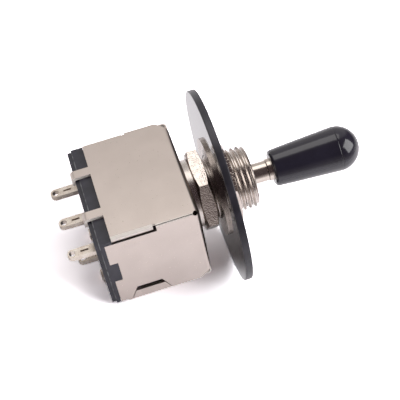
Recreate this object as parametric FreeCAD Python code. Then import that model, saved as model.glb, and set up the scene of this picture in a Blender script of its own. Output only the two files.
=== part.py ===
"""Three-way pickup selector switch: folded steel can, threaded bushing, ring plate and toggle lever.

Units are millimetres. The geometry is laid out in housing coordinates: X is the lever's centre
line, with x = 0 on the outer face of the can's end plate and +X towards the lever tip. Y is the
direction in which the lever swings and Z is the thickness of the can. On export every piece is
moved so that the origin lies at the middle of the bushing's free thread.
"""
import FreeCAD, Part
import math
import os

# Lever
PIVOT_X = 6.0
LEVER_SWING = 12.0           # degrees each way
LEVER_BALL = 2.9
LEVER_RADIUS = 1.95
LEVER_COLLAR_RADIUS, LEVER_COLLAR_START = 2.12, 15.2
STEM_RADIUS, STEM_END = 1.5, 24.2
ARM_LENGTH = 11.0            # pivot to the centre of the drive ball
ARM_BALL = 1.35
ARM_NECK = 0.85
NECK_TAPER = 2.4             # from the drive ball to the start of the neck's taper
PIN_RADIUS, PIN_RECESS, PIN_RUNNING = 0.8, 0.55, 0.03
TIP_START, TIP_BASE_RADIUS = 16.15, 3.48
DOME_X, DOME_RADIUS = 28.95, 4.25
TIP_EDGE = 0.45

# Sliding mechanism, laid out from the drive ball towards the base
SLIDER_LEAD = 1.6            # drive ball to the slider's front face
SLIDER_LENGTH = 6.5
SLIDER_HALF_Y, SLIDER_HALF_Z = 6.9, 4.6
SLIDE_CLEARANCE = 0.05
SLOT_CLEARANCE = 0.05
SLOT_HALF_Z = 1.6
END_GAP = 0.3                # slider's end to the guide at full travel
GUIDE_FRONT_GAP = 0.2        # slider to the guide's front wall
STRIP_THICKNESS, STRIP_WIDTH, STRIP_Z = 0.3, 2.4, 1.2
STRIP_INSET = 0.3            # strip's ends inside the slider's ends
STRIP_STANDOFF = 0.05        # contact strip behind the slider's rear face
CONTACT_GAP = 0.65           # contact strip to the pads
DIMPLE_INSET, DIMPLE_RADIUS = 1.0, 0.8
CONTACT_CLEARANCE = 0.02
POCKET_RADIUS, POCKET_DEPTH = 0.95, 2.7
DETENT_LEAD, DETENT_Z, DETENT_RADIUS = 3.2, 4.0, 1.0
DETENT_BORE, DETENT_FLOOR = 1.05, -0.6
DETENT_CREST, DETENT_DEPTH = 5.05, 0.25
WIRE_RADIUS = 0.18
SPRING_STEPS, WIRE_SIDES = 12, 8  # straight lengths in one turn of a spring, sides of its wire

# Base
DECK_DEPTH = 2.0             # raised deck under the contact pads
BASE_THICKNESS = 5.7
BASE_CLEARANCE = 0.05        # base to the can's inner faces
DECK_INSET = 0.6             # deck edge inside the base's edge
BASE_STEP, BASE_STEP_INSET = 0.75, 0.25  # step round the base's end

# Can
CAN_WIDTH = 24.2             # Y, over the outer faces
CAN_HEIGHT = 18.0            # Z, over the outer faces
CAN_DROP = 0.7               # middle of the can below the lever's centre line
SHEET = 0.6                  # steel thickness
BASE_PROUD = 1.6             # base's end behind the side panels
PANEL_STEP = 1.4             # side panels behind the broad panels
BEND_RADIUS = 0.8            # outer radius of the four bends at the end plate
LIP_RADIUS = 0.4             # rounded lips of the corner seams
SEAM = 0.14                  # gap where two folded panels meet
RELIEF_RADIUS = 0.45         # bend relief at the front corners
RELIEF_BACK = 0.8            # from the end plate to the relief
CORNER_CUT = 2.4             # chamfer at two of the front corners
FLANGE_LENGTH = 7.55         # turned edge of the broad panel, along its rear half
FLANGE_DROP = 0.8            # how far the turned edge comes down
FLANGE_RADIUS = 0.72         # outer radius of its bend
FLANGE_GAP = 0.65            # from the turned edge to the side panel below it
FLANGE_RELIEF = 0.55         # slot between the turned edge and the seam
NOTCH_DEPTH = 1.45           # key notch in the side panel's rear edge
NOTCH_HALF = 2.4             # half its height, about the can's middle
TAB_BACK = 0.6               # from the broad panel's rear edge to the lock tab
TAB_LENGTH = 7.8
TAB_SLANT = 1.7              # how far each end of the lock tab leans in
TAB_RISE = 2.3               # height of the lock tab
TAB_WINDOW = 1.1             # open gap above the lock tab
STRAP_Y = 5.25               # centre of each crimp strap
STRAP_WIDTH = 1.85
STRAP_TURN = 1.8             # length turned over the base's end face

# Terminals
LUG_PITCH = 7.68
LUG_Z = 2.1
LUG_WIDTH = 2.0
LUG_THICKNESS = 1.0
LUG_REACH = 5.15             # tip behind the base's end
LUG_HOLE_RADIUS = 0.6
LUG_HOLE_BACK = 0.95         # from the rounded tip to the hole's centre
GROUND_Y, GROUND_Z, GROUND_REACH = -3.8, -4.3, 3.8
GROUND_FOOT = 0.8            # thickness of the ground lug's foot
MARK_LENGTH, MARK_WIDTH, MARK_DEPTH = 1.5, 0.4, 0.3
PAD_THICKNESS = 0.8
PAD_LOW = -0.9               # z of the contact pads' lower edge
PAD_CENTRE_HALF = 2.9        # half length of the common pad
PAD_OUTER_START, PAD_OUTER_END = 4.6, 9.4

# Bushing and its hardware
THREAD_RADIUS = 5.95         # 12 mm nominal thread over the crests
THREAD_HALF_DEPTH = 0.27
PITCH_RADIUS = THREAD_RADIUS - THREAD_HALF_DEPTH  # where a nut's thread and the bushing's meet
STAKE_RADIUS, STAKE_THICKNESS = THREAD_RADIUS - 0.25, 0.6
SPIGOT_RADIUS = THREAD_RADIUS - 0.75
COLLAR_RADIUS, COLLAR_END = THREAD_RADIUS + 0.5, 1.3
BODY_NUT_THICKNESS = 2.45
WASHER_GAP = 0.95            # bare thread between the body nut and the washer
WASHER_THICKNESS, WASHER_RADIUS, WASHER_HOLE = 0.5, THREAD_RADIUS + 3.35, THREAD_RADIUS + 0.15
RING_THICKNESS, RING_RADIUS, RING_HOLE, RING_EDGE = 1.35, 18.25, THREAD_RADIUS + 0.25, 0.15
DRESS_NUT_THICKNESS = 1.85
FREE_THREAD = 3.25
BUSHING_LEAD = 0.45
BORE_RADIUS = 3.0
MOUTH_RADIUS, MOUTH_DEPTH = 3.6, 4.1
BODY_NUT_FLATS, BODY_NUT_TURN = 2 * THREAD_RADIUS + 2.4, 67.0
DRESS_NUT_FLATS, DRESS_NUT_TURN = 2 * THREAD_RADIUS + 2.5, 85.7
NUT_LEAD = 0.45              # chamfer on a nut's corners

# Positions that follow from the sizes above
DRIVE_X = PIVOT_X - ARM_LENGTH
TRAVEL = ARM_LENGTH * math.radians(LEVER_SWING)
SLIDER_FRONT = DRIVE_X + SLIDER_LEAD
SLIDER_REAR = SLIDER_FRONT - SLIDER_LENGTH
GUIDE_FRONT_WALL = SLIDER_FRONT + GUIDE_FRONT_GAP
DETENT_X = DRIVE_X - DETENT_LEAD
GUIDE_CHANNEL_HALF = SLIDER_HALF_Y + TRAVEL + END_GAP
POCKET_Y = SLIDER_HALF_Y / 2
STRIP_HALF = SLIDER_HALF_Y - STRIP_INSET
DIMPLE_Y = STRIP_HALF - DIMPLE_INSET
STRIP_FACE = SLIDER_REAR - STRIP_STANDOFF
POCKET_BOTTOM = SLIDER_REAR + POCKET_DEPTH
PAD_FACE = STRIP_FACE - CONTACT_GAP
BASE_DECK = PAD_FACE - PAD_THICKNESS
BASE_SHOULDER = BASE_DECK - DECK_DEPTH
BASE_END = BASE_SHOULDER - BASE_THICKNESS
SIDE_REAR = BASE_END + BASE_PROUD
BROAD_REAR = SIDE_REAR + PANEL_STEP
FLANGE_FRONT = BROAD_REAR + FLANGE_LENGTH
TAB_REAR = BROAD_REAR + TAB_BACK
TAB_FRONT = TAB_REAR + TAB_LENGTH
LUG_TIP = BASE_END - LUG_REACH
GROUND_TIP = BASE_END - GROUND_REACH
HALF_W, HALF_H = CAN_WIDTH / 2, CAN_HEIGHT / 2
INNER_Y, INNER_Z = HALF_W - SHEET, HALF_H - SHEET
BASE_Y, BASE_Z = INNER_Y - BASE_CLEARANCE, INNER_Z - BASE_CLEARANCE
SIDE_TOP = HALF_H - FLANGE_DROP - FLANGE_GAP
BODY_NUT_END = COLLAR_END + BODY_NUT_THICKNESS
WASHER_START = BODY_NUT_END + WASHER_GAP
RING_START = WASHER_START + WASHER_THICKNESS
DRESS_START = RING_START + RING_THICKNESS
FREE_START = DRESS_START + DRESS_NUT_THICKNESS
FREE_END = FREE_START + FREE_THREAD
BUSHING_END = FREE_END + BUSHING_LEAD
MOUTH_START = BUSHING_END - MOUTH_DEPTH
PIN_HALF = THREAD_RADIUS - PIN_RECESS
FRAME_X = (FREE_START + FREE_END) / 2


def vec(x, y, z):
    """Return a FreeCAD vector."""
    return FreeCAD.Vector(x, y, z)


def block(x0, x1, y0, y1, z0, z1):
    """Return a box between two corners."""
    return Part.makeBox(x1 - x0, y1 - y0, z1 - z0, vec(x0, y0, z0))


def rod(radius, start, end, direction):
    """Return a cylinder from start, along direction, to the coordinate end."""
    length = (vec(*end) - vec(*start)).Length
    return Part.makeCylinder(radius, length, vec(*start), vec(*direction))


def barrel(radius, x0, x1):
    """Return a cylinder about the lever's centre line."""
    return rod(radius, (x0, 0, 0), (x1, 0, 0), (1, 0, 0))


def prism(points, y0, y1):
    """Return a solid of an (x, z) outline swept along Y."""
    wire = Part.makePolygon([vec(x, y0, z) for x, z in points + points[:1]])
    return Part.Face(wire).extrude(vec(0, y1 - y0, 0))


def turned(points):
    """Return the solid that an (x, radius) outline makes about the centre line."""
    wire = Part.makePolygon([vec(x, 0, r) for x, r in points + points[:1]])
    return Part.Face(wire).revolve(vec(0, 0, 0), vec(1, 0, 0), 360)


def fuse(first, *others):
    """Fuse solids and merge their coplanar faces."""
    return first.fuse(list(others)).removeSplitter()


def cut(solid, *tools):
    """Cut tools from a solid."""
    return solid.cut(list(tools))


def edges_where(shape, test):
    """Return the edges whose two end points both pass the test."""
    return [e for e in shape.Edges if len(e.Vertexes) == 2 and all(test(v.Point) for v in e.Vertexes)]


def mirror_y(shape):
    """Return the shape reflected across the XZ plane."""
    return shape.mirror(vec(0, 0, 0), vec(0, 1, 0))


def mirror_z(shape):
    """Return the shape reflected across the XY plane."""
    return shape.mirror(vec(0, 0, 0), vec(0, 0, 1))


def dropped(shape):
    """Return the shape moved from the can's middle down to its place under the lever's centre line."""
    moved = shape.copy()
    moved.translate(vec(0, 0, -CAN_DROP))
    return moved


def half_turn(shape):
    """Return the shape turned half way round the lever's centre line."""
    turned_copy = shape.copy()
    turned_copy.rotate(vec(0, 0, 0), vec(1, 0, 0), 180)
    return turned_copy


def spring(radius, wire, turns, start, direction, length):
    """Return a round-wire coil spring that fills the given length along direction.

    The coil's centre line stops one wire radius short of each end, so the wire meets both seats.
    It is made of short straight lengths with mitred joints.
    """
    rise = length - 2 * wire
    steps = turns * SPRING_STEPS
    turn = [2 * math.pi * k / SPRING_STEPS for k in range(steps + 1)]
    line = [vec(radius * math.cos(a), radius * math.sin(a), wire + rise * k / steps)
            for k, a in enumerate(turn)]
    section = Part.makePolygon([vec(wire * math.cos(2 * math.pi * k / WIRE_SIDES),
                                    wire * math.sin(2 * math.pi * k / WIRE_SIDES), 0)
                                for k in range(WIRE_SIDES + 1)])
    section.Placement = FreeCAD.Placement(line[0], FreeCAD.Rotation(vec(0, 0, 1), line[1] - line[0]))
    coil = Part.makePolygon(line).makePipeShell([section], True, False, 1)
    rotation = FreeCAD.Rotation(vec(0, 0, 1), vec(*direction))
    coil.Placement = FreeCAD.Placement(vec(*start), rotation).multiply(coil.Placement)
    return coil


def can_shell():
    """Return the end plate with its four panels as a closed tray with rounded bends."""
    outer = block(SIDE_REAR, 0, -HALF_W, HALF_W, -HALF_H, HALF_H)
    outer = outer.makeFillet(BEND_RADIUS, edges_where(outer, lambda p: abs(p.x) < 1e-6))
    inner = block(SIDE_REAR - 1, -SHEET, -INNER_Y, INNER_Y, -INNER_Z, INNER_Z)
    inner = inner.makeFillet(BEND_RADIUS - SHEET, edges_where(inner, lambda p: abs(p.x + SHEET) < 1e-6))
    tray = cut(outer, inner)
    for sign in (1, -1):
        z0, z1 = sorted((sign * (INNER_Z - 0.001), sign * (HALF_H + 1)))
        tray = cut(tray, block(SIDE_REAR - 1, BROAD_REAR, -HALF_W - 1, HALF_W + 1, z0, z1))
    return tray


def corner_seam(y_sign, z_sign, rear, front):
    """Return the thin slot along one long corner, on the diagonal of the two panels."""
    reach = 2 * SHEET
    slot = block(rear, front, -reach, reach, -SEAM / 2, SEAM / 2)
    slot.rotate(vec(0, 0, 0), vec(1, 0, 0), 45 * y_sign * z_sign)
    slot.translate(vec(0, y_sign * (HALF_W - SHEET / 2), z_sign * (HALF_H - SHEET / 2)))
    return slot


def corner_lips(y_sign, z_sign, rear, front):
    """Return what is cut off one long corner to leave the two panels' edges rounded."""
    r = LIP_RADIUS
    y0, y1 = sorted((y_sign * (HALF_W - r), y_sign * (HALF_W + 1)))
    z0, z1 = sorted((z_sign * (HALF_H - r), z_sign * (HALF_H + 1)))
    centre_y, centre_z = y_sign * (HALF_W - r), z_sign * (HALF_H - r)
    return cut(block(rear, front, y0, y1, z0, z1),
               rod(r, (rear - 1, centre_y, centre_z), (front + 1, centre_y, centre_z), (1, 0, 0)))


def corner_relief(y_sign, z_sign):
    """Return the round hole at the front end of a corner seam."""
    centre = vec(-RELIEF_BACK, y_sign * (HALF_W - SHEET / 2), z_sign * (HALF_H - SHEET / 2))
    out = vec(0, y_sign, z_sign).normalize()
    reach = 3 * SHEET
    return Part.makeCylinder(RELIEF_RADIUS, 2 * reach, centre - out * reach, out)


def corner_chamfer(y_sign, z_sign, on_side):
    """Return the wedge that takes off a panel's front corner.

    The wedge lies in the side panel's plane if on_side is true, otherwise in the broad panel's.
    """
    c = CORNER_CUT
    outline = [(0.5, HALF_H + 0.5), (-c - 0.5, HALF_H + 0.5), (0.5, HALF_H - c - 0.5)]
    if on_side:
        wedge = prism(outline, -HALF_W - 1, -INNER_Y + 0.2)
        return wedge if (y_sign, z_sign) == (-1, 1) else half_turn(mirror_y(wedge))
    outline = [(x, z + HALF_W - HALF_H) for x, z in outline]
    wedge = prism(outline, -HALF_H - 1, -INNER_Z + 0.2)
    wedge.rotate(vec(0, 0, 0), vec(1, 0, 0), -90)
    return wedge if z_sign > 0 else half_turn(wedge)


def lock_tab():
    """Return the tab that the bottom panel turns up into the side panel at -Y."""
    low, high = -HALF_H, -HALF_H + TAB_RISE
    s = TAB_SLANT * TAB_RISE / (TAB_RISE + TAB_WINDOW)
    outline = [(TAB_REAR, low), (TAB_REAR + s, high), (TAB_FRONT - s, high), (TAB_FRONT, low)]
    tab = prism(outline, -HALF_W, -INNER_Y)
    bridge = block(TAB_REAR, TAB_FRONT, -HALF_W, -INNER_Y + SHEET, low, low + SHEET)
    bent = fuse(tab, bridge)
    edge = edges_where(bent, lambda p: abs(p.y + HALF_W) < 1e-6 and abs(p.z + HALF_H) < 1e-6)
    return bent.makeFillet(SHEET * 0.8, edge)


def tab_window():
    """Return the opening in the side panel at -Y that takes the lock tab."""
    low, high = -HALF_H, -HALF_H + TAB_RISE + TAB_WINDOW
    rear, front = TAB_REAR - SEAM, TAB_FRONT + SEAM
    outline = [(rear, low - 1), (rear, low), (rear + TAB_SLANT, high), (front - TAB_SLANT, high),
               (front, low), (front, low - 1)]
    return prism(outline, -HALF_W - 1, -INNER_Y + 0.001)


def turned_edge():
    """Return the top panel's turned-down edge at -Y, along its rear half."""
    low = HALF_H - FLANGE_DROP
    flange = fuse(block(BROAD_REAR, FLANGE_FRONT, -HALF_W, -INNER_Y, low, HALF_H),
                  block(BROAD_REAR, FLANGE_FRONT, -HALF_W, -INNER_Y + SHEET, INNER_Z, HALF_H))
    edge = edges_where(flange, lambda p: abs(p.y + HALF_W) < 1e-6 and abs(p.z - HALF_H) < 1e-6)
    return flange.makeFillet(FLANGE_RADIUS, edge)


def crimp_strap(y):
    """Return one strap that runs back from the top panel and turns down over the base."""
    y0, y1 = y - STRAP_WIDTH / 2, y + STRAP_WIDTH / 2
    tail = BASE_END - SHEET
    strap = fuse(block(tail, BROAD_REAR + 1, y0, y1, INNER_Z, HALF_H),
                 block(tail, BASE_END, y0, y1, HALF_H - STRAP_TURN, HALF_H))
    outer = edges_where(strap, lambda p: abs(p.x - tail) < 1e-6 and abs(p.z - HALF_H) < 1e-6)
    strap = strap.makeFillet(BEND_RADIUS, outer)
    inner = edges_where(strap, lambda p: abs(p.x - BASE_END) < 1e-6 and abs(p.z - INNER_Z) < 1e-6)
    return strap.makeFillet(BEND_RADIUS - SHEET, inner)


def steel_housing():
    """Return the folded can with its seams, notches, lock tabs, crimp straps and bushing hole.

    It is laid out about its own middle and then dropped to its place.
    """
    tray = can_shell()
    rear = SIDE_REAR - 1
    cuts = []
    side = (-HALF_W - 1, -INNER_Y + 0.001)
    notch = block(rear, SIDE_REAR + NOTCH_DEPTH, *side, -NOTCH_HALF, NOTCH_HALF)
    upper = block(rear, FLANGE_FRONT + FLANGE_RELIEF, *side, SIDE_TOP, HALF_H + 1)
    for tool in (notch, upper, tab_window()):
        cuts += [tool, mirror_y(tool)]
    seam_rear = FLANGE_FRONT + FLANGE_RELIEF
    for y_sign in (-1, 1):
        cuts += [corner_seam(y_sign, 1, seam_rear, -RELIEF_BACK),
                 corner_seam(y_sign, -1, rear, -RELIEF_BACK),
                 corner_lips(y_sign, 1, seam_rear, -RELIEF_BACK),
                 corner_lips(y_sign, -1, rear, -RELIEF_BACK)]
        cuts += [corner_relief(y_sign, z_sign) for z_sign in (-1, 1)]
    cuts += [corner_chamfer(1, 1, False), mirror_y(half_turn(corner_chamfer(-1, 1, True)))]
    body = cut(tray, *cuts)
    edge, tab = turned_edge(), lock_tab()
    added = [edge, mirror_y(edge), tab, mirror_y(tab)]
    for y in (-STRAP_Y, STRAP_Y):
        strap = crimp_strap(y)
        added += [strap, mirror_z(strap)]
    return cut(dropped(fuse(body, *added)), barrel(SPIGOT_RADIUS, -SHEET - 1, 1))


def terminal_base():
    """Return the moulded base with its end flange, side keys, deck and terminal slots."""
    c = BASE_CLEARANCE
    step = BASE_END + BASE_STEP
    inset_y, inset_z = HALF_W - BASE_STEP_INSET, BASE_Z - BASE_STEP_INSET
    deck_y, deck_z = BASE_Y - DECK_INSET, BASE_Z - DECK_INSET
    key_z = NOTCH_HALF - c
    key = block(SIDE_REAR - c, SIDE_REAR + NOTCH_DEPTH - c, -HALF_W, -BASE_Y, -key_z, key_z)
    base = fuse(block(SIDE_REAR - c, BASE_SHOULDER, -BASE_Y, BASE_Y, -BASE_Z, BASE_Z),
                block(step, SIDE_REAR - c, -HALF_W, HALF_W, -BASE_Z, BASE_Z),
                block(SIDE_REAR - c, BROAD_REAR - c, -HALF_W, HALF_W, SIDE_TOP + c, BASE_Z),
                block(BASE_END, step, -inset_y, inset_y, -inset_z, inset_z),
                block(BASE_SHOULDER, BASE_DECK, -deck_y, deck_y, -deck_z, deck_z), key, mirror_y(key))
    half_w, half_t = LUG_WIDTH / 2, LUG_THICKNESS / 2
    slots = [block(BASE_END - 1, BASE_DECK + 1, y - half_w, y + half_w, LUG_Z - half_t, LUG_Z + half_t)
             for y in (-LUG_PITCH, 0, LUG_PITCH)]
    left, right = GROUND_Y - half_w, GROUND_Y + half_w
    slots += [block(BASE_END - 1, BASE_SHOULDER, left, right, GROUND_Z - half_t, GROUND_Z + half_t),
              block(BASE_SHOULDER - GROUND_FOOT, BASE_SHOULDER, left, right, -HALF_H - CAN_DROP,
                    GROUND_Z + half_t),
              block(BASE_SHOULDER - 0.001, BASE_DECK + 1, left, right, -HALF_H - CAN_DROP, GROUND_Z + half_t)]
    return cut(dropped(base), *slots)


def lug_blade(y, z, tip, root):
    """Return a flat terminal blade with a rounded, pierced tip and a punched mark."""
    half_w, half_t = LUG_WIDTH / 2, LUG_THICKNESS / 2
    blade = fuse(block(tip + half_w, root, y - half_w, y + half_w, z - half_t, z + half_t),
                 rod(half_w, (tip + half_w, y, z - half_t), (tip + half_w, y, z + half_t), (0, 0, 1)))
    hole_x = tip + LUG_HOLE_BACK
    hole = rod(LUG_HOLE_RADIUS, (hole_x, y, z - LUG_THICKNESS), (hole_x, y, z + LUG_THICKNESS), (0, 0, 1))
    mark_x = hole_x + MARK_LENGTH
    mark = block(mark_x, mark_x + MARK_LENGTH, y - MARK_WIDTH / 2, y + MARK_WIDTH / 2,
                 z + half_t - MARK_DEPTH, z + half_t + 1)
    return cut(blade, hole, mark)


def contact_pad(y, z, pad_from, pad_to):
    """Return the contact pad folded down from the inner end of a blade."""
    return block(BASE_DECK, PAD_FACE, pad_from, pad_to, PAD_LOW, z + LUG_THICKNESS / 2)


def solder_lug(side):
    """Return one of the three switched terminals; side is -1, 0 or 1 along Y."""
    y = side * LUG_PITCH
    if side == 0:
        span = (-PAD_CENTRE_HALF, PAD_CENTRE_HALF)
    else:
        span = sorted((side * PAD_OUTER_START, side * PAD_OUTER_END))
    return fuse(lug_blade(y, LUG_Z, LUG_TIP, PAD_FACE), contact_pad(y, LUG_Z, *span))


def ground_lug():
    """Return the earth terminal, whose foot turns down to touch the can."""
    blade = lug_blade(GROUND_Y, GROUND_Z, GROUND_TIP, BASE_SHOULDER)
    foot = block(BASE_SHOULDER - GROUND_FOOT, BASE_SHOULDER, GROUND_Y - LUG_WIDTH / 2,
                 GROUND_Y + LUG_WIDTH / 2, -INNER_Z - CAN_DROP, GROUND_Z)
    return fuse(blade, foot)


def threaded_bushing():
    """Return the turned bushing: staked spigot, collar, thread stretches and lever bore.

    Where a nut engages, both surfaces meet at the thread's pitch radius.
    """
    tail = -SHEET - STAKE_THICKNESS
    outline = [(tail, BORE_RADIUS), (tail, STAKE_RADIUS), (-SHEET, STAKE_RADIUS),
               (-SHEET, SPIGOT_RADIUS), (0, SPIGOT_RADIUS), (0, COLLAR_RADIUS),
               (COLLAR_END, COLLAR_RADIUS), (COLLAR_END, PITCH_RADIUS), (BODY_NUT_END, PITCH_RADIUS),
               (BODY_NUT_END, THREAD_RADIUS), (DRESS_START, THREAD_RADIUS),
               (DRESS_START, PITCH_RADIUS), (FREE_START, PITCH_RADIUS), (FREE_START, THREAD_RADIUS),
               (FREE_END, THREAD_RADIUS), (BUSHING_END, THREAD_RADIUS - BUSHING_LEAD),
               (BUSHING_END, MOUTH_RADIUS), (MOUTH_START, BORE_RADIUS)]
    reach = THREAD_RADIUS + 1
    cross = rod(PIN_RADIUS, (PIVOT_X, 0, -reach), (PIVOT_X, 0, reach), (0, 0, 1))
    return cut(turned(outline), cross)


def hex_nut(x0, x1, flats, turn):
    """Return a hexagon nut with chamfered corners on both faces."""
    corner = flats / 2 / math.cos(math.radians(30))
    points = [vec(x0, corner * math.cos(math.radians(turn + 60 * k)),
                  corner * math.sin(math.radians(turn + 60 * k))) for k in range(7)]
    nut = Part.Face(Part.makePolygon(points)).extrude(vec(x1 - x0, 0, 0))
    rim, face = corner + 0.02, flats / 2 - 0.1
    nut = nut.common(turned([(x0, 0), (x0, face), (x0 + NUT_LEAD, rim), (x1 - NUT_LEAD, rim),
                             (x1, face), (x1, 0)]))
    return cut(nut, barrel(PITCH_RADIUS, x0 - 1, x1 + 1))


def body_nut():
    """Return the nut that stops the switch against the back of the panel."""
    return hex_nut(COLLAR_END, BODY_NUT_END, BODY_NUT_FLATS, BODY_NUT_TURN)


def dress_nut():
    """Return the nut that clamps the ring plate from the front."""
    return hex_nut(DRESS_START, FREE_START, DRESS_NUT_FLATS, DRESS_NUT_TURN)


def flat_washer():
    """Return the thin washer behind the ring plate."""
    hole = barrel(WASHER_HOLE, WASHER_START - 1, RING_START + 1)
    return cut(barrel(WASHER_RADIUS, WASHER_START, RING_START), hole)


def ring_plate():
    """Return the round black plate that sits round the bushing, with its rim's edges broken."""
    e = RING_EDGE
    return turned([(RING_START, RING_HOLE), (RING_START, RING_RADIUS - e), (RING_START + e, RING_RADIUS),
                   (DRESS_START - e, RING_RADIUS), (DRESS_START, RING_RADIUS - e),
                   (DRESS_START, RING_HOLE)])


def sphere(x, y, z, radius):
    """Return a ball."""
    return Part.makeSphere(radius, vec(x, y, z), vec(1, 0, 0))


def lever():
    """Return the turned lever: stem, collar, shaft, pivot ball and drive arm."""
    taper = DRIVE_X + NECK_TAPER
    profile = [(DRIVE_X, 0), (DRIVE_X, ARM_NECK), (taper, ARM_NECK), (taper + 1.4, 1.12),
               (PIVOT_X - LEVER_BALL * 0.9, STEM_RADIUS), (PIVOT_X, STEM_RADIUS), (PIVOT_X, LEVER_RADIUS),
               (LEVER_COLLAR_START, LEVER_RADIUS), (LEVER_COLLAR_START + 0.15, LEVER_COLLAR_RADIUS),
               (TIP_START, LEVER_COLLAR_RADIUS), (TIP_START, STEM_RADIUS),
               (STEM_END - 0.4, STEM_RADIUS), (STEM_END, STEM_RADIUS - 0.4), (STEM_END, 0)]
    solid = fuse(turned(profile), sphere(PIVOT_X, 0, 0, LEVER_BALL), sphere(DRIVE_X, 0, 0, ARM_BALL))
    reach = LEVER_BALL + 1
    hole = rod(PIN_RADIUS + PIN_RUNNING, (PIVOT_X, 0, -reach), (PIVOT_X, 0, reach), (0, 0, 1))
    return cut(solid, hole)


def lever_tip():
    """Return the moulded tip: a long cone that swells into a round dome."""
    cone = turned([(TIP_START, 0), (TIP_START, TIP_BASE_RADIUS), (DOME_X, DOME_RADIUS), (DOME_X, 0)])
    rim = [e for e in cone.Edges if abs(e.BoundBox.XMax - TIP_START) < 1e-6
           and e.Length > 2 * math.pi * (TIP_BASE_RADIUS - 0.5)]
    tip = fuse(cone.makeFillet(TIP_EDGE, rim), sphere(DOME_X, 0, 0, DOME_RADIUS))
    socket = turned([(TIP_START - 1, 0), (TIP_START - 1, STEM_RADIUS), (STEM_END - 0.4, STEM_RADIUS),
                     (STEM_END, STEM_RADIUS - 0.4), (STEM_END, 0)])
    return cut(tip, socket)


def pivot_pin():
    """Return the cross pin that the lever turns on, pressed into the bushing."""
    return rod(PIN_RADIUS, (PIVOT_X, 0, -PIN_HALF), (PIVOT_X, 0, PIN_HALF), (0, 0, 1))


def slider():
    """Return the moulded slider with its drive slot, spring pockets and detent bore."""
    body = block(SLIDER_REAR, SLIDER_FRONT, -SLIDER_HALF_Y, SLIDER_HALF_Y, -SLIDER_HALF_Z, SLIDER_HALF_Z)
    slot_y = ARM_BALL + SLOT_CLEARANCE
    slot = block(DRIVE_X - ARM_BALL - 0.25, SLIDER_FRONT + 1, -slot_y, slot_y, -SLOT_HALF_Z, SLOT_HALF_Z)
    channel = block(SLIDER_REAR - 1, STRIP_FACE + STRIP_THICKNESS, -SLIDER_HALF_Y - 1,
                    SLIDER_HALF_Y + 1, STRIP_Z - STRIP_WIDTH / 2 - SLIDE_CLEARANCE,
                    STRIP_Z + STRIP_WIDTH / 2 + SLIDE_CLEARANCE)
    bore = rod(DETENT_BORE, (DETENT_X, 0, DETENT_FLOOR), (DETENT_X, 0, SLIDER_HALF_Z + 1), (0, 0, 1))
    pockets = [rod(POCKET_RADIUS, (SLIDER_REAR - 1, y, STRIP_Z), (POCKET_BOTTOM, y, STRIP_Z), (1, 0, 0))
               for y in (-POCKET_Y, POCKET_Y)]
    return cut(body, slot, channel, bore, *pockets)


def bridge_contact():
    """Return the sprung contact strip with three wiping dimples."""
    strip = block(STRIP_FACE - STRIP_THICKNESS, STRIP_FACE, -STRIP_HALF, STRIP_HALF,
                  STRIP_Z - STRIP_WIDTH / 2, STRIP_Z + STRIP_WIDTH / 2)
    crown = PAD_FACE + CONTACT_CLEARANCE + DIMPLE_RADIUS
    keep = block(crown - DIMPLE_RADIUS - 1, STRIP_FACE - STRIP_THICKNESS / 2, -STRIP_HALF, STRIP_HALF,
                 STRIP_Z - DIMPLE_RADIUS, STRIP_Z + DIMPLE_RADIUS)
    dimples = [sphere(crown, y, STRIP_Z, DIMPLE_RADIUS).common(keep) for y in (-DIMPLE_Y, 0, DIMPLE_Y)]
    return fuse(strip, *dimples)


def contact_spring(side):
    """Return the coil spring that presses one half of the contact strip on its pads."""
    return spring(POCKET_RADIUS - WIRE_RADIUS - 0.07, WIRE_RADIUS, 4,
                  (STRIP_FACE, side * POCKET_Y, STRIP_Z), (1, 0, 0), POCKET_BOTTOM - STRIP_FACE)


def detent_ball():
    """Return the steel ball that clicks into the three notches."""
    return sphere(DETENT_X, 0, DETENT_Z, DETENT_RADIUS)


def detent_spring():
    """Return the coil spring under the detent ball."""
    seat = DETENT_Z - DETENT_RADIUS
    return spring(DETENT_BORE - WIRE_RADIUS - 0.1, WIRE_RADIUS, 6, (DETENT_X, 0, DETENT_FLOOR), (0, 0, 1),
                  seat - DETENT_FLOOR)


def slide_guide():
    """Return the moulded guide: slider channel, lever slot, base pocket and detent notches."""
    outer_y, outer_z = INNER_Y - BASE_CLEARANCE * 2, INNER_Z - BASE_CLEARANCE * 2
    body = block(BASE_SHOULDER, -SHEET, -outer_y, outer_y, -outer_z, outer_z)
    body = dropped(body.makeChamfer(0.25, edges_where(body, lambda p: abs(p.x + SHEET) < 1e-6)))
    channel_z = SLIDER_HALF_Z + SLIDE_CLEARANCE
    deck_y, deck_z = BASE_Y - DECK_INSET, BASE_Z - DECK_INSET
    slot_y = BORE_RADIUS + 0.3
    tools = [block(PAD_FACE - 0.1, GUIDE_FRONT_WALL, -GUIDE_CHANNEL_HALF, GUIDE_CHANNEL_HALF,
                   -channel_z, channel_z),
             dropped(block(BASE_SHOULDER - 1, PAD_FACE, -deck_y, deck_y, -deck_z, deck_z)),
             block(GUIDE_FRONT_WALL - 0.1, 1, -slot_y, slot_y, -SLOT_HALF_Z, SLOT_HALF_Z),
             barrel(STAKE_RADIUS + BASE_CLEARANCE, -SHEET - STAKE_THICKNESS, 1)]
    reach = TRAVEL + DETENT_RADIUS + 0.3
    width = DETENT_BORE + SLIDE_CLEARANCE
    tools.append(block(DETENT_X - width, DETENT_X + width, -reach, reach, channel_z - 0.1, DETENT_CREST))
    for step in (-1, 0, 1):
        cup_z = DETENT_CREST + DETENT_DEPTH - DETENT_BORE
        tools.append(sphere(DETENT_X, step * TRAVEL, cup_z, DETENT_BORE))
    return cut(body, *tools)


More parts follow.
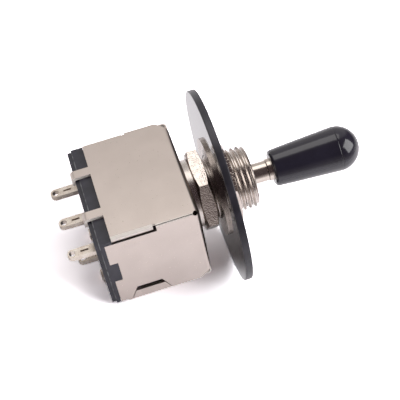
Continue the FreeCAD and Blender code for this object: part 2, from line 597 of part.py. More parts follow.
NODES = {
    "steel_housing": steel_housing,
    "terminal_base": terminal_base,
    "solder_lug_left": lambda: solder_lug(1),
    "solder_lug_centre": lambda: solder_lug(0),
    "solder_lug_right": lambda: solder_lug(-1),
    "ground_lug": ground_lug,
    "threaded_bushing": threaded_bushing,
    "body_nut": body_nut,
    "flat_washer": flat_washer,
    "ring_plate": ring_plate,
    "dress_nut": dress_nut,
    "lever": lever,
    "lever_tip": lever_tip,
    "pivot_pin": pivot_pin,
    "slider": slider,
    "bridge_contact": bridge_contact,
    "contact_spring_left": lambda: contact_spring(1),
    "contact_spring_right": lambda: contact_spring(-1),
    "detent_ball": detent_ball,
    "detent_spring": detent_spring,
    "slide_guide": slide_guide,
}


def main():
    """Build every piece and write one STEP file for each."""
    os.makedirs("parts", exist_ok=True)
    for name, make in NODES.items():
        solid = make()
        if solid.ShapeType != "Solid" and len(solid.Solids) == 1:
            solid = solid.Solids[0]
        solid = solid.copy()
        solid.translate(vec(-FRAME_X, 0, 0))
        box = solid.BoundBox
        print("%-22s valid %s solids %d volume %9.3f  x %.2f..%.2f y %.2f..%.2f z %.2f..%.2f" % (
            name, solid.isValid(), len(solid.Solids), solid.Volume,
            box.XMin, box.XMax, box.YMin, box.YMax, box.ZMin, box.ZMax))
        solid.exportStep("parts/%s.step" % name)


main()
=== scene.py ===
"""Dresses the three-way pickup selector switch and sets it on a pale table.

The CAD frame gives the pieces and their places. This file gives each one its finish, makes the
thread, the polished plate and the moulded tip in mesh code, and adds the table, light and camera.
"""
import logging
import math
from dataclasses import dataclass
from enum import Enum
from typing import Iterable, Sequence

import bmesh
import bpy
from mathutils import Euler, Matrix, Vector


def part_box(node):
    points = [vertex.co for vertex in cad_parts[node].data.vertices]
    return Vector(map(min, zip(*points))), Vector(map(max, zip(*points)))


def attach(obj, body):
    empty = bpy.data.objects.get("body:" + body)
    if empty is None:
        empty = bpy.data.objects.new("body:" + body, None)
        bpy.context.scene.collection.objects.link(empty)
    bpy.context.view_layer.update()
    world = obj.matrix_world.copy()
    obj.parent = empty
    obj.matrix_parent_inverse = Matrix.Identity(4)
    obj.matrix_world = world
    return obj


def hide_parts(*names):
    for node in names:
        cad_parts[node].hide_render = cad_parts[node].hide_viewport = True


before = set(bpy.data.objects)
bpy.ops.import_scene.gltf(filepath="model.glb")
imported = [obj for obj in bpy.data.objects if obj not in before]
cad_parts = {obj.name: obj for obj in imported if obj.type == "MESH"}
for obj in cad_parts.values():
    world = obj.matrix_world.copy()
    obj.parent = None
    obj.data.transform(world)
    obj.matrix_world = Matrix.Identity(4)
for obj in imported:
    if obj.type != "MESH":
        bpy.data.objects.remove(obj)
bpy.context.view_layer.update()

MM = 0.001
END_PLATE_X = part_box("steel_housing")[1].x / MM  # outer face of the can's end plate, mm
PATCH_FADE = (0.35, 0.65)  # share of the slow noise at which the dull and the clean colour are full
EDGE_SEGMENTS = 2  # faces across a rounded edge
LOG = logging.getLogger("pickup_switch")

Ring = tuple[float, float]


class Body(Enum):
    """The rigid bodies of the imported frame."""

    SWITCH = "switch_body"
    LEVER = "lever_body"
    SLIDER = "slider_body"


def linear(hex_code: str) -> tuple[float, float, float, float]:
    """Turn an sRGB hex colour into a linear RGBA colour.

    Args:
        hex_code: Colour as "#RRGGBB".

    Returns:
        The linear red, green, blue and an alpha of one.
    """
    channels = [int(hex_code[i:i + 2], 16) / 255 for i in (1, 3, 5)]
    red, green, blue = (c / 12.92 if c <= 0.04045 else ((c + 0.055) / 1.055) ** 2.4 for c in channels)
    return red, green, blue, 1.0


def add_node(tree: bpy.types.NodeTree, kind: str, settings: dict | None = None,
             links: dict | None = None) -> bpy.types.Node:
    """Add a shader node with its settings and the links into it.

    Args:
        tree: Node tree that takes the node.
        kind: Blender's name of the node type.
        settings: Attribute names, or input names or numbers, with their values.
        links: Input names or numbers with the output sockets that feed them.

    Returns:
        The new node.
    """
    node = tree.nodes.new(kind)
    for key, value in (settings or {}).items():
        if isinstance(key, str) and hasattr(node, key):
            setattr(node, key, value)
        else:
            node.inputs[key].default_value = value
    for key, socket in (links or {}).items():
        tree.links.new(socket, node.inputs[key])
    return node


def ramp(tree: bpy.types.NodeTree, source: bpy.types.NodeSocket,
         stops: Sequence[tuple[float, str]]) -> bpy.types.NodeSocket:
    """Spread a value over a run of sRGB colours and return the colour socket."""
    node = add_node(tree, "ShaderNodeValToRGB", links={"Fac": source})
    elements = node.color_ramp.elements
    while len(elements) < len(stops):
        elements.new(0.5)
    for element, (position, colour) in zip(elements, stops):
        element.position = position
        element.color = linear(colour)
    return node.outputs["Color"]


@dataclass(frozen=True)
class Finish:
    """A surface made from one material, with fine grain in its roughness and relief.

    Attributes:
        name: What the material is and how its surface was made.
        dark: sRGB colour of the duller patches.
        light: sRGB colour of the cleaner patches.
        metallic: One for metal, zero for plastic.
        roughness: Lowest and highest roughness over the grain.
        patch_mm: Size of the slow patches of colour.
        grain_mm: Size of the fine grain.
        relief_mm: Height of the fine grain.
        coat: Weight of a clear glossy skin.
        pitted: True where the grain stands in pits of one size rather than in finer and finer grain.
        painted_highlight_colour: sRGB colour painted, as a highlight, on the places that a kind of finish
            picks out.
        mark_roughness: Roughness of those places.
    """

    name: str
    dark: str
    light: str
    metallic: float
    roughness: tuple[float, float]
    patch_mm: float = 4.0
    grain_mm: float = 0.2
    relief_mm: float = 0.002
    coat: float = 0.0
    pitted: bool = False
    painted_highlight_colour: str = "#FFFCF8"
    mark_roughness: float = 0.9

    def painted_highlight_mask(self, tree: bpy.types.NodeTree) -> bpy.types.NodeSocket | None:
        """Return where a painted highlight lies, from zero to one, or None where there is none."""
        return None

    def build(self) -> bpy.types.Material:
        """Return the material, made once and shared by every piece that asks for it.

        Returns:
            The node-based material.
        """
        if self.name in bpy.data.materials:
            return bpy.data.materials[self.name]
        material = bpy.data.materials.new(self.name)
        material.use_nodes = True
        tree = material.node_tree
        tree.nodes.clear()
        place = add_node(tree, "ShaderNodeTexCoord").outputs["Object"]
        patches = add_node(tree, "ShaderNodeTexNoise",
                           {"Scale": 1 / (self.patch_mm * MM), "Detail": 3.0}, {"Vector": place})
        grain = add_node(tree, "ShaderNodeTexNoise",
                         {"Scale": 1 / (self.grain_mm * MM), "Detail": 0.0 if self.pitted else 2.0},
                         {"Vector": place})
        colour = ramp(tree, patches.outputs["Fac"],
                      list(zip(PATCH_FADE, (self.dark, self.light))))
        low, high = self.roughness
        rough = add_node(tree, "ShaderNodeMapRange", {"To Min": low, "To Max": high},
                         {"Value": grain.outputs["Fac"]}).outputs["Result"]
        # The places that a kind of finish picks out get a painted highlight: a paler colour, with its own
        # roughness.
        painted_highlight_mask = self.painted_highlight_mask(tree)
        if painted_highlight_mask:
            colour = add_node(tree, "ShaderNodeMix", {"data_type": "RGBA", 7: linear(self.painted_highlight_colour)},
                              {0: painted_highlight_mask, 6: colour}).outputs[2]
            rough = add_node(tree, "ShaderNodeMix", {3: self.mark_roughness},
                             {0: painted_highlight_mask, 2: rough}).outputs[0]
        bump = add_node(tree, "ShaderNodeBump", {"Strength": 1.0, "Distance": self.relief_mm * MM},
                        {"Height": grain.outputs["Fac"]})
        shader = add_node(tree, "ShaderNodeBsdfPrincipled",
                          {"Metallic": self.metallic, "Coat Weight": self.coat},
                          {"Base Color": colour, "Roughness": rough, "Normal": bump.outputs["Normal"]})
        add_node(tree, "ShaderNodeOutputMaterial", links={"Surface": shader.outputs["BSDF"]})
        return material


@dataclass(frozen=True)
class HighlightedFoldedSheet(Finish):
    """Sheet whose bends and sheared edges are matt, and painted near-white there as a highlight.

    Attributes:
        sheared_within_mm: Faces across Y are sheared edges within this distance of the middle.
        bend_fade: Product of the normal's Y and Z parts where a bend starts and where it is full.
    """

    sheared_within_mm: float = 11.5
    bend_fade: tuple[float, float] = (0.06, 0.25)

    def painted_highlight_mask(self, tree: bpy.types.NodeTree) -> bpy.types.NodeSocket | None:
        """Return one on the bends along X and on the sheared edges, where the highlight is painted, and zero
        on the flats.
        """
        place = add_node(tree, "ShaderNodeTexCoord")
        facing = add_node(tree, "ShaderNodeVectorMath", {"operation": "ABSOLUTE"},
                          {0: place.outputs["Normal"]})
        facing = add_node(tree, "ShaderNodeSeparateXYZ", links={0: facing.outputs[0]})
        between = add_node(tree, "ShaderNodeMath", {"operation": "MULTIPLY"},
                           {0: facing.outputs["Y"], 1: facing.outputs["Z"]})
        bend_start, bend_full = self.bend_fade
        bend = add_node(tree, "ShaderNodeMapRange", {"From Min": bend_start, "From Max": bend_full},
                        {"Value": between.outputs[0]})
        across = add_node(tree, "ShaderNodeVectorMath", {"operation": "ABSOLUTE"},
                          {0: place.outputs["Object"]})
        across = add_node(tree, "ShaderNodeSeparateXYZ", links={0: across.outputs[0]})
        inner = add_node(tree, "ShaderNodeMath", {"operation": "LESS_THAN", 1: self.sheared_within_mm * MM},
                         {0: across.outputs["Y"]})
        sheared = add_node(tree, "ShaderNodeMath", {"operation": "MULTIPLY"},
                           {0: facing.outputs["Y"], 1: inner.outputs[0]})
        return add_node(tree, "ShaderNodeMath", {"operation": "MAXIMUM"},
                        {0: bend.outputs["Result"], 1: sheared.outputs[0]}).outputs[0]


@dataclass(frozen=True)
class HighlightLinedMoulding(Finish):
    """Moulding with a pale line along its end, a painted highlight on the edge of its step.

    Attributes:
        line_x: Station of the line in the row frame, mm.
        line_mm: Width of the line.
        gap_mm: Size of the gaps that break the line.
        gap_fade: Share of the noise where a gap ends and where the line is full.
    """

    line_x: float = 0.0
    line_mm: float = 0.28
    gap_mm: float = 1.1
    gap_fade: tuple[float, float] = (0.35, 0.6)

    def painted_highlight_mask(self, tree: bpy.types.NodeTree) -> bpy.types.NodeSocket | None:
        """Return one on the painted highlight line, broken up into pieces, and zero beside it."""
        place = add_node(tree, "ShaderNodeTexCoord").outputs["Object"]
        along = add_node(tree, "ShaderNodeSeparateXYZ", links={0: place})
        off = add_node(tree, "ShaderNodeMath", {"operation": "SUBTRACT", 1: self.line_x * MM},
                       {0: along.outputs["X"]})
        off = add_node(tree, "ShaderNodeMath", {"operation": "ABSOLUTE"}, {0: off.outputs[0]})
        line = add_node(tree, "ShaderNodeMapRange", {"From Min": self.line_mm * MM / 2, "From Max": 0.0},
                        {"Value": off.outputs[0]})
        broken = add_node(tree, "ShaderNodeTexNoise", {"Scale": 1 / (self.gap_mm * MM), "Detail": 2.0},
                          {"Vector": place})
        gap_end, line_full = self.gap_fade
        broken = add_node(tree, "ShaderNodeMapRange", {"From Min": gap_end, "From Max": line_full},
                          {"Value": broken.outputs["Fac"]})
        return add_node(tree, "ShaderNodeMath", {"operation": "MULTIPLY"},
                        {0: line.outputs["Result"], 1: broken.outputs["Result"]}).outputs[0]


# Cold-rolled steel with satin nickel plate: a warm, even grey that blurs what it reflects.
# Its bends and sheared edges carry a painted highlight in near-white.
NICKELLED_SHEET = HighlightedFoldedSheet("satin_nickel_on_rolled_steel", "#CEC3BC", "#D3C8C1", 1.0, (0.25, 0.34),
                              patch_mm=5.0, grain_mm=0.35, relief_mm=0.0002)
# Turned brass with bright nickel plate: sharp bright and dark bands along the thread.
NICKELLED_BRASS = Finish("bright_nickel_on_turned_brass", "#CCC1B8", "#DDD4CB", 1.0, (0.14, 0.26),
                         patch_mm=2.0, grain_mm=0.1, relief_mm=0.0008)
# The same brass where the die has cut the thread: a finely torn skin that softens the bands.
NICKELLED_THREAD = Finish("bright_nickel_on_cut_thread", "#CBC3BD", "#DBD3CD", 1.0, (0.20, 0.32),
                          patch_mm=1.5, grain_mm=0.12, relief_mm=0.002)
# Hexagon bar with bright nickel plate: the flats keep the pitted skin of the drawn bar.
NICKELLED_HEX_BAR = Finish("bright_nickel_on_drawn_hex_bar", "#C6BBB4", "#D9CFC8", 1.0, (0.08, 0.18),
                           patch_mm=1.2, grain_mm=0.26, relief_mm=0.036, pitted=True)
# Punched steel washer, nickel plated in the barrel: a dull sheared rim and flat bright faces.
NICKELLED_WASHER = Finish("barrel_nickel_on_punched_steel", "#A0958E", "#BBB0A9", 1.0, (0.18, 0.32),
                          patch_mm=1.5, grain_mm=0.2, relief_mm=0.01)
# Tinned and handled brass strip: duller and warmer than the can.
TINNED_STRIP = Finish("tinned_brass_strip", "#CDC1B5", "#E4DCD2", 1.0, (0.22, 0.36),
                      patch_mm=1.4, grain_mm=0.3, relief_mm=0.0015)
# Phenolic moulding compound: near black with a slight blue cast and a dry, fine-grained skin.
# The pale line near its rear end is a painted highlight on the step's edge, in grey.
BASE_MOULDING = HighlightLinedMoulding("moulded_black_phenolic", "#32323C", "#3E3E4A", 0.0, (0.34, 0.54),
                               patch_mm=2.5, grain_mm=0.22, relief_mm=0.006, painted_highlight_colour="#8A8B90",
                               mark_roughness=0.4, line_x=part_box("terminal_base")[0].x / MM + 0.8)
# Polished ABS sheet: a deep black that mirrors the table and the washer.
POLISHED_SHEET = Finish("polished_black_abs_sheet", "#0F0F13", "#131318", 0.0, (0.05, 0.09),
                        patch_mm=8.0, grain_mm=1.5, relief_mm=0.0006)
# The same sheet's sawn and scraped rim: a greyer, bluish black with a satin sheen.
SCRAPED_RIM = Finish("scraped_black_abs_rim", "#2C2B33", "#3D3B45", 0.0, (0.25, 0.45),
                     patch_mm=2.5, grain_mm=0.25, relief_mm=0.006)
# Injection-moulded ABS tip: glossy black with soft edges to its highlights.
TIP_MOULDING = Finish("moulded_black_abs", "#272531", "#2D2B39", 0.0, (0.13, 0.19),
                      patch_mm=5.0, grain_mm=0.35, relief_mm=0.0012, coat=0.3)
# Natural nylon: milky white with a waxy sheen.
NYLON_MOULDING = Finish("moulded_natural_nylon", "#D9D6CC", "#E6E3DA", 0.0, (0.35, 0.45), grain_mm=0.3)
# Dark phenolic paper board: brown black and dull.
GUIDE_MOULDING = Finish("moulded_brown_phenolic", "#1B1512", "#241C18", 0.0, (0.5, 0.65), grain_mm=0.25)
# Phosphor bronze strip: pinkish yellow metal, rolled.
BRONZE_STRIP = Finish("rolled_phosphor_bronze", "#C08A5C", "#D6A476", 1.0, (0.22, 0.32), patch_mm=1.5)
# Drawn spring wire: dark, slightly oily steel.
SPRING_WIRE = Finish("drawn_spring_steel", "#83817F", "#A3A19E", 1.0, (0.2, 0.3), grain_mm=0.1)
# Hardened ball: mirror bright.
BALL_STEEL = Finish("polished_ball_steel", "#BDBDBF", "#CDCDCF", 1.0, (0.05, 0.08), relief_mm=0.0002)


def dress(name: str, finish: Finish, edge_mm: float = 0.0, angle_deg: float = 35.0) -> None:
    """Give a CAD node its finish and, where asked, a small rounding on its sharp edges.

    Args:
        name: Name of the CAD node.
        finish: Finish that covers the node.
        edge_mm: Width of the rounding, or zero for none.
        angle_deg: Edges sharper than this are rounded and split in shading.
    """
    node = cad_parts[name]
    node.data.materials.clear()
    node.data.materials.append(finish.build())
    if edge_mm:
        bevel = node.modifiers.new("soft_edges", "BEVEL")
        bevel.width = edge_mm * MM
        bevel.segments = EDGE_SEGMENTS
        bevel.limit_method = "ANGLE"
        bevel.angle_limit = math.radians(angle_deg)
    LOG.info("dressed %s in %s", name, finish.name)


def finished_object(mesh: bmesh.types.BMesh, name: str, finish: Finish, body: Body,
                    nodes: Iterable[str], sharp_deg: float = 32.0) -> bpy.types.Object:
    """Turn a built mesh into a piece that rides its body and stands for its CAD nodes.

    Args:
        mesh: The built mesh, in metres and in the row frame. It is freed here.
        name: Name of the new piece.
        finish: Finish that covers the piece.
        body: Body that the piece moves with.
        nodes: CAD nodes that the piece stands for.
        sharp_deg: Edges sharper than this are split in shading.

    Returns:
        The new object.
    """
    bmesh.ops.remove_doubles(mesh, verts=mesh.verts, dist=1e-7)
    bmesh.ops.recalc_face_normals(mesh, faces=mesh.faces)
    data = bpy.data.meshes.new(name)
    mesh.to_mesh(data)
    mesh.free()
    data.shade_smooth()
    data.set_sharp_from_angle(angle=math.radians(sharp_deg))
    data.materials.append(finish.build())
    piece = bpy.data.objects.new(name, data)
    bpy.context.scene.collection.objects.link(piece)
    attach(piece, body.value)
    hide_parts(*nodes)
    LOG.info("built %s with %d faces", name, len(data.polygons))
    return piece


def reach(node: str) -> tuple[float, float, float]:
    """Return where a CAD node starts and ends along the lever's line, and its radius about it.

    Args:
        node: Name of a CAD node that is round about the lever's line.

    Returns:
        The two stations from the end plate and the radius, in mm.
    """
    low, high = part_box(node)
    return low.x / MM - END_PLATE_X, high.x / MM - END_PLATE_X, high.z / MM


def on_axis(x: float, radius: float, angle: float) -> Vector:
    """Return the point at a station, radius and angle about the lever's line, in metres."""
    return Vector((x + END_PLATE_X, radius * math.cos(angle), radius * math.sin(angle))) * MM


def turn(mesh: bmesh.types.BMesh, outline: Sequence[Ring], sides: int) -> None:
    """Add the surface that an outline of (station, radius) points makes about the lever's line.

    Args:
        mesh: Mesh that takes the surface.
        outline: Points in order, in mm from the end plate and from the axis. A radius of zero
            closes the surface in one point.
        sides: Number of divisions round the axis.
    """
    rings = []
    for x, radius in outline:
        count = 1 if radius <= 0 else sides
        rings.append([mesh.verts.new(on_axis(x, radius, 2 * math.pi * k / sides)) for k in range(count)])
    for first, second in zip(rings, rings[1:]):
        for k in range(sides):
            corners = [first[k % len(first)], first[(k + 1) % len(first)],
                       second[(k + 1) % len(second)], second[k % len(second)]]
            corners = list(dict.fromkeys(corners))
            if len(corners) > 2:
                mesh.faces.new(corners)


def arc(x: float, radius: float, size: float, start: float, end: float, steps: int) -> list[Ring]:
    """Return outline points on an arc of the given size about (x, radius), angles in degrees."""
    angles = [math.radians(start + (end - start) * k / steps) for k in range(steps + 1)]
    return [(x + size * math.cos(a), radius + size * math.sin(a)) for a in angles]


@dataclass
class Bushing:
    """The turned bushing with its collar, helical thread and lever bore. Sizes in mm."""

    tail: float = -1.2
    stake_radius: float = 5.7
    stake_front: float = -0.6
    spigot_radius: float = 5.2
    collar_radius: float = 6.45
    collar_end: float = 1.3
    crest_radius: float = 5.95
    root_radius: float = 5.38
    pitch: float = 1.0
    crest_share: float = 0.14
    flank_share: float = 0.34
    phases: tuple[float, ...] = (0.0, 0.09, 0.26, 0.43, 0.57, 0.74, 0.91)
    front: float = 12.1
    lead: float = 0.5
    mouth_radius: float = 3.6
    mouth_start: float = 8.0
    bore_radius: float = 3.0
    edge: float = 0.12
    mouth_edge: float = 0.15
    sides: int = 120

    def thread_radius(self, phase: float) -> float:
        """Return the thread's radius at a phase from 0 to 1 along one pitch."""
        height = self.crest_radius - self.root_radius
        distance = abs((phase % 1.0) - 0.5)
        rise = min(1.0, max(0.0, (self.crest_share / 2 + self.flank_share - distance) / self.flank_share))
        return self.root_radius + height * rise

    def close(self, mesh: bmesh.types.BMesh, ring: Sequence[bmesh.types.BMVert], x: float,
              radius: float) -> None:
        """Join the end of the thread to the circle of the given radius at the same station.

        Args:
            mesh: Mesh that takes the faces.
            ring: The thread's points at that end, in order round the axis.
            x: Station of the end, in mm from the end plate.
            radius: Radius of the circle, in mm.
        """
        circle = [mesh.verts.new(on_axis(x, radius, 2 * math.pi * k / self.sides))
                  for k in range(self.sides + 1)]
        for k in range(self.sides):
            mesh.faces.new([ring[k], ring[k + 1], circle[k + 1], circle[k]])

    def thread(self, mesh: bmesh.types.BMesh) -> None:
        """Add the thread as one helical band of rings that follow crest and root, closed at its ends."""
        turns = range(-1, int((self.front - self.collar_end) / self.pitch) + 2)
        stations = [self.collar_end + (t + phase) * self.pitch for t in turns for phase in self.phases]
        columns = []
        for k in range(self.sides + 1):
            share = k / self.sides
            column = []
            for index, station in enumerate(stations):
                x = station + share * self.pitch
                inside = min(max(x, self.collar_end), self.front)
                phase = self.phases[index % len(self.phases)] + (inside - x) / self.pitch
                limit = self.crest_radius - self.lead + (self.front - inside)
                radius = min(self.thread_radius(phase), limit)
                column.append(mesh.verts.new(on_axis(inside, radius, 2 * math.pi * share)))
            columns.append(column)
        for first, second in zip(columns, columns[1:]):
            for k in range(len(stations) - 1):
                corners = [first[k], first[k + 1], second[k + 1], second[k]]
                if len({tuple(round(c, 8) for c in v.co) for v in corners}) > 2:
                    mesh.faces.new(corners)
        self.close(mesh, [column[0] for column in columns], self.collar_end,
                   self.collar_radius - self.edge)
        self.close(mesh, [column[-1] for column in columns], self.front,
                   self.mouth_radius + self.mouth_edge)

    def build(self) -> None:
        """Build the bushing in place of its CAD node."""
        mesh = bmesh.new()
        edge = self.edge
        turn(mesh, [(self.tail, self.bore_radius), (self.tail, self.stake_radius),
                    (self.stake_front, self.stake_radius), (self.stake_front, self.spigot_radius),
                    (0.0, self.spigot_radius), (0.0, self.collar_radius - edge), (edge, self.collar_radius),
                    (self.collar_end - edge, self.collar_radius),
                    (self.collar_end, self.collar_radius - edge)], self.sides)
        self.thread(mesh)
        turn(mesh, [(self.front, self.mouth_radius + self.mouth_edge),
                    (self.front - edge, self.mouth_radius), (self.mouth_start, self.bore_radius),
                    (self.tail, self.bore_radius)], self.sides)
        finished_object(mesh, "bushing_with_thread", NICKELLED_THREAD, Body.SWITCH,
                        ["threaded_bushing"])


@dataclass
class RingPlate:
    """The round polished plate. Sizes in mm."""

    hole: float = 6.2
    edge: float = 0.15
    edge_loop: float = 0.6
    sides: int = 240

    def build(self) -> None:
        """Build the plate in place of its CAD node."""
        mesh = bmesh.new()
        back, front, rim = reach("ring_plate")
        soft = self.edge
        outline = [(front, self.hole), (back, self.hole), (back, rim - self.edge_loop)]
        outline += arc(back + soft, rim - soft, soft, 180, 90, 4)
        outline += arc(front - soft, rim - soft, soft, 90, 0, 4)
        outline += [(front, rim - self.edge_loop), (front, self.hole)]
        turn(mesh, outline, self.sides)
        for face in mesh.faces:
            middle = face.calc_center_median() / MM
            face.material_index = int(math.hypot(middle.y, middle.z) > rim - self.edge)
        plate = finished_object(mesh, "round_plate", POLISHED_SHEET, Body.SWITCH,
                                ["ring_plate"])
        plate.data.materials.append(SCRAPED_RIM.build())


@dataclass
class LeverTip:
    """The moulded tip: a cone that widens into a dome, with the mould's parting line. Sizes in mm."""

    base_radius: float = 3.48
    base_edge: float = 0.7
    base_loop: float = 0.2
    socket_radius: float = 1.5
    socket_end: float = 24.2
    cone_shares: tuple[float, ...] = (0.3, 0.6, 0.9)
    lip_length: float = 0.12
    lip_start: float = -0.22
    lip_end: float = -0.12
    groove_at: float = -0.05
    groove_end: float = 0.02
    groove: float = 0.05
    sides: int = 128

    def build(self) -> None:
        """Build the tip in place of its CAD node."""
        mesh = bmesh.new()
        start, end, dome = reach("lever_tip")
        dome_x = end - dome
        slope = (dome - self.base_radius) / (dome_x - start)
        outline = [(self.socket_end, 0.0), (self.socket_end, self.socket_radius),
                   (start, self.socket_radius),
                   (start, self.base_radius - self.base_edge - self.base_loop)]
        outline += arc(start + self.base_edge, self.base_radius - self.base_edge, self.base_edge, 180, 93, 8)
        outline += [(start + share * (dome_x - start), self.base_radius + slope * share * (dome_x - start))
                    for share in self.cone_shares]
        lip = dome - slope * self.lip_length
        outline += [(dome_x + self.lip_start, lip), (dome_x + self.lip_end, lip),
                    (dome_x + self.groove_at, lip - self.groove), (dome_x + self.groove_end, dome)]
        outline += arc(dome_x, 0.0, dome, 88, 2, 28)
        outline.append((end, 0.0))
        turn(mesh, outline, self.sides)
        finished_object(mesh, "lever_tip_moulding", TIP_MOULDING, Body.LEVER, ["lever_tip"],
                        sharp_deg=50.0)


@dataclass
class CanAndBase:
    """The folded can, the moulded base and the four terminals, kept from the CAD frame."""

    sheet_edge_mm: float = 0.14
    moulding_edge_mm: float = 0.2
    strip_edge_mm: float = 0.1

    def build(self) -> None:
        """Dress the can, base and lugs."""
        dress("steel_housing", NICKELLED_SHEET, self.sheet_edge_mm)
        dress("terminal_base", BASE_MOULDING, self.moulding_edge_mm)
        for lug in ("solder_lug_left", "solder_lug_centre", "solder_lug_right", "ground_lug"):
            dress(lug, TINNED_STRIP, self.strip_edge_mm)


@dataclass
class Hardware:
    """The two hexagon nuts and the thin washer."""

    edge_mm: float = 0.08
    nut_angle_deg: float = 20.0

    def build(self) -> None:
        """Dress the nuts and the washer."""
        for nut in ("body_nut", "dress_nut"):
            dress(nut, NICKELLED_HEX_BAR, self.edge_mm, self.nut_angle_deg)
        dress("flat_washer", NICKELLED_WASHER, self.edge_mm)


@dataclass
class Mechanism:
    """The turned lever, its pin, and the pieces that slide inside the can."""

    def build(self) -> None:
        """Dress the lever and the inner pieces."""
        dress("lever", NICKELLED_BRASS)
        dress("pivot_pin", SPRING_WIRE)
        dress("slider", NYLON_MOULDING)
        dress("slide_guide", GUIDE_MOULDING)
        dress("bridge_contact", BRONZE_STRIP)
        dress("detent_ball", BALL_STEEL)
        for spring in ("contact_spring_left", "contact_spring_right", "detent_spring"):
            dress(spring, SPRING_WIRE)


@dataclass(frozen=True)
class Softbox:
    """A rectangular softbox that faces the switch.

    Attributes:
        name: Name of the softbox.
        place: Position in mm.
        size: Width and height in mm.
        glow: Brightness of its face, where one is a white wall.
        colour: sRGB colour.
    """

    name: str
    place: tuple[float, float, float]
    size: tuple[float, float]
    glow: float
    colour: str

    def build(self) -> None:
        """Add the softbox to the scene."""
        light = bpy.data.lights.new(self.name, "AREA")
        light.shape = "RECTANGLE"
        light.size, light.size_y = (side * MM for side in self.size)
        light.energy = self.glow * math.pi * self.size[0] * self.size[1] * MM * MM
        light.color = linear(self.colour)[:3]
        lamp = bpy.data.objects.new(self.name, light)
        lamp.location = Vector(self.place) * MM
        lamp.rotation_euler = (-Vector(self.place)).to_track_quat("-Z", "Y").to_euler()
        bpy.context.scene.collection.objects.link(lamp)


OVERHEAD = Softbox("overhead_softbox", (80, 340, 940), (650, 575), 1.35, "#FFFDFA")
RIGHT = Softbox("right_softbox", (369, -179, 172), (370, 370), 4.0, "#FFFFFF")


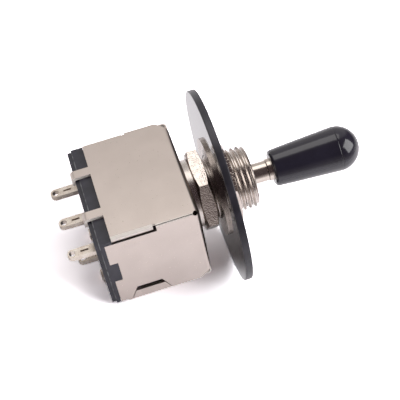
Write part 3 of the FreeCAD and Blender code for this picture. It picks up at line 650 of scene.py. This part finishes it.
@dataclass
class Studio:
    """The table, the room round it, the softboxes and the camera.

    The table is tilted in the row frame, because the switch lies on it with the rear of its can
    and the rim of its plate. Lengths are in mm and angles in degrees.
    """

    rear_contact: tuple[float, float] = (-29.19, -9.66)
    plate_contact: tuple[float, float] = (-4.8, -18.25)
    table_half: float = 1500.0
    # Distance in front of the switch over which the paper greys into painted shade, mm.
    front_shade_fade: tuple[float, float] = (38.0, 100.0)
    seen_gain: float = 2.5
    mirrored_gain: float = 0.7
    # White paper, and the grey of the painted shade further in front.
    paper_and_front_shade: tuple[str, str] = ("#EBEAEE", "#8C8888")
    bright_side: tuple[float, float, float] = (0.0, 0.77, 0.64)
    room: tuple[tuple[float, str], ...] = ((0.1, "#463C3E"), (0.56, "#554A4C"), (0.70, "#C8C4C1"),
                                           (1.0, "#D2CECC"))
    low_band: tuple[tuple[float, str], ...] = ((0.15, "#8E8686"), (0.45, "#FFFFFF"))
    low_band_top: tuple[float, float] = (0.04, 0.26)
    camera_place: tuple[float, float, float] = (-26.014, -147.16, 164.643)
    camera_turn: tuple[float, float, float] = (40.95, 7.912, -15.955)
    lens: float = 108.0
    sensor_width: float = 36.0
    clip_m: tuple[float, float] = (0.01, 20.0)

    def table_tilt(self) -> float:
        """Return the table's slope about Y, in radians."""
        (x0, z0), (x1, z1) = self.rear_contact, self.plate_contact
        return math.atan2(z0 - z1, x1 - x0)

    def table_normal(self) -> Vector:
        """Return the direction straight up from the table."""
        return Vector((math.sin(self.table_tilt()), 0.0, math.cos(self.table_tilt())))

    def table(self) -> None:
        """Add the white table top, which greys further in front of the switch as painted shade. What sees it
        sees it a little lighter than it lights the switch.
        """
        mesh = bmesh.new()
        half = self.table_half * MM
        mesh.faces.new([mesh.verts.new(p) for p in ((-half, -half, 0), (half, -half, 0),
                                                    (half, half, 0), (-half, half, 0))])
        data = bpy.data.meshes.new("table_top")
        mesh.to_mesh(data)
        mesh.free()
        material = bpy.data.materials.new("white_paper_with_painted_front_shade")
        material.use_nodes = True
        tree = material.node_tree
        tree.nodes.clear()
        path = add_node(tree, "ShaderNodeLightPath")
        mirrored = add_node(tree, "ShaderNodeMath", {"operation": "MAXIMUM"},
                            {0: path.outputs["Is Glossy Ray"], 1: path.outputs["Is Transmission Ray"]})
        lift = add_node(tree, "ShaderNodeMath", {"operation": "MULTIPLY_ADD", 1: self.mirrored_gain, 2: 1.0},
                        {0: mirrored.outputs[0]})
        lift = add_node(tree, "ShaderNodeMath", {"operation": "MULTIPLY_ADD", 1: self.seen_gain},
                        {0: path.outputs["Is Camera Ray"], 2: lift.outputs[0]})
        # Matt white paper with a faint lilac cast, greying into painted shade further in front of the
        # switch.
        place = add_node(tree, "ShaderNodeTexCoord")
        away = add_node(tree, "ShaderNodeSeparateXYZ", links={0: place.outputs["Object"]})
        start, end = (-edge * MM for edge in self.front_shade_fade)
        away = add_node(tree, "ShaderNodeMapRange", {"From Min": start, "From Max": end},
                        {"Value": away.outputs["Y"]})
        paper_and_front_shade = ramp(tree, away.outputs["Result"], list(zip((0.0, 1.0), self.paper_and_front_shade)))
        shade = add_node(tree, "ShaderNodeVectorMath", {"operation": "SCALE"},
                         {0: paper_and_front_shade, "Scale": lift.outputs[0]})
        matt = add_node(tree, "ShaderNodeBsdfDiffuse", links={"Color": shade.outputs[0]})
        add_node(tree, "ShaderNodeOutputMaterial", links={"Surface": matt.outputs[0]})
        data.materials.append(material)
        top = bpy.data.objects.new("table_top", data)
        top.location = (self.rear_contact[0] * MM, 0, self.rear_contact[1] * MM)
        top.rotation_euler = (0, self.table_tilt(), 0)
        bpy.context.scene.collection.objects.link(top)

    def surroundings(self) -> None:
        """Add the room: pale behind and overhead, dim in front, and white low down except in front."""
        world = bpy.data.worlds.new("soft_studio")
        bpy.context.scene.world = world
        world.use_nodes = True
        tree = world.node_tree
        tree.nodes.clear()
        place = add_node(tree, "ShaderNodeTexCoord")
        facing = add_node(tree, "ShaderNodeVectorMath",
                          {"operation": "DOT_PRODUCT", 1: Vector(self.bright_side).normalized()},
                          {0: place.outputs["Generated"]})
        room = ramp(tree, facing.outputs["Value"], self.room)
        height = add_node(tree, "ShaderNodeVectorMath", {"operation": "DOT_PRODUCT", 1: self.table_normal()},
                          {0: place.outputs["Generated"]})
        depth = add_node(tree, "ShaderNodeSeparateXYZ", links={0: place.outputs["Generated"]})
        depth = add_node(tree, "ShaderNodeMapRange", {"From Min": -1.0, "From Max": 1.0},
                         {"Value": depth.outputs["Y"]})
        low_band = ramp(tree, depth.outputs["Result"], self.low_band)
        start, end = self.low_band_top
        above = add_node(tree, "ShaderNodeMapRange", {"From Min": start, "From Max": end},
                         {"Value": height.outputs["Value"]})
        sky = add_node(tree, "ShaderNodeMix", {"data_type": "RGBA"},
                       {0: above.outputs["Result"], 6: low_band, 7: room})
        soft = add_node(tree, "ShaderNodeBackground", {"Strength": 1.0}, {"Color": sky.outputs[2]})
        add_node(tree, "ShaderNodeOutputWorld", links={"Surface": soft.outputs[0]})

    def camera(self) -> None:
        """Add the camera at the photograph's place."""
        data = bpy.data.cameras.new("camera")
        data.lens = self.lens
        data.sensor_width = self.sensor_width
        data.clip_start, data.clip_end = self.clip_m
        camera = bpy.data.objects.new("camera", data)
        camera.location = Vector(self.camera_place) * MM
        camera.rotation_euler = Euler([math.radians(a) for a in self.camera_turn], "XYZ")
        bpy.context.scene.collection.objects.link(camera)
        bpy.context.scene.camera = camera

    def build(self) -> None:
        """Build the table, room, softboxes and camera."""
        self.table()
        self.surroundings()
        for softbox in (OVERHEAD, RIGHT):
            softbox.build()
        self.camera()
        bpy.context.scene.view_settings.view_transform = "Standard"
        LOG.info("studio ready")


def main() -> None:
    """Build every piece in order and report each one."""
    logging.basicConfig(level=logging.INFO, format="%(name)s: %(message)s")
    for part in (CanAndBase(), Bushing(), Hardware(), RingPlate(), Mechanism(), LeverTip(), Studio()):
        part.build()
        LOG.info("%s done", type(part).__name__)


if __name__ == "__main__":
    main()
